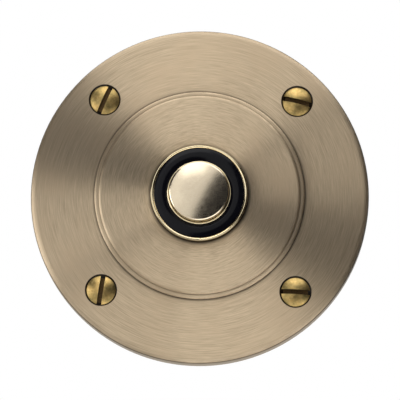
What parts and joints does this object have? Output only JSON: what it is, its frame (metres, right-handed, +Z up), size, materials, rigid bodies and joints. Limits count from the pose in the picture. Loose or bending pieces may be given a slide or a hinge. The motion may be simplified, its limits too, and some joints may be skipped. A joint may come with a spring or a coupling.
{
  "type": "doorbell push button",
  "caption": "Round stepped brass bell push, screwed to a wall or door frame, with a sprung polished button in a black ring that closes an electrical contact.",
  "frame": {"origin": "centre of the rose's flat back, in the plane of the wall", "axes": "+Z up, -Y out of the wall towards the visitor, +Y into the wall"},
  "size_m": [0.076, 0.0265, 0.076],
  "materials": {
    "antique_brass": "circular brushed satin, lacquered",
    "screw_brass": "worn, tarnished in the slot",
    "polished_brass": "polished",
    "black_moulding": "glossy moulded",
    "button_metal": "polished",
    "natural_nylon": "moulded",
    "spring_steel": "drawn wire",
    "contact_metal": "rolled strip",
    "base_moulding": "moulded",
    "plated_steel": "zinc plated",
    "nut_brass": "machined"
  },
  "bodies": {
    "rose": {"face_plate": "antique_brass", "fixing_screws": "screw_brass", "bezel_ring": "polished_brass", "switch_body": "black_moulding", "guide_bush": "polished_brass", "return_spring": "spring_steel", "contact_strip_left": "contact_metal", "contact_strip_right": "contact_metal", "terminal_base": "base_moulding", "terminal_insert_left": "contact_metal", "terminal_insert_right": "contact_metal", "terminal_washers": "plated_steel", "terminal_screws": "plated_steel", "fixing_nut": "nut_brass", "lock_washer": "spring_steel"},
    "button": {"push_button": "button_metal", "plunger": "natural_nylon", "retaining_clip": "spring_steel", "contact_bridge": "contact_metal", "contact_spring": "spring_steel"}
  },
  "joints": [
    {"name": "button_press", "type": "slide", "parent": "rose", "child": "button", "axis": [0, 1, 0], "range_m": [0, 0.002], "stiffness_N_per_m": 500, "springref_m": -0.003, "deforming": ["return_spring"]}
  ]
}
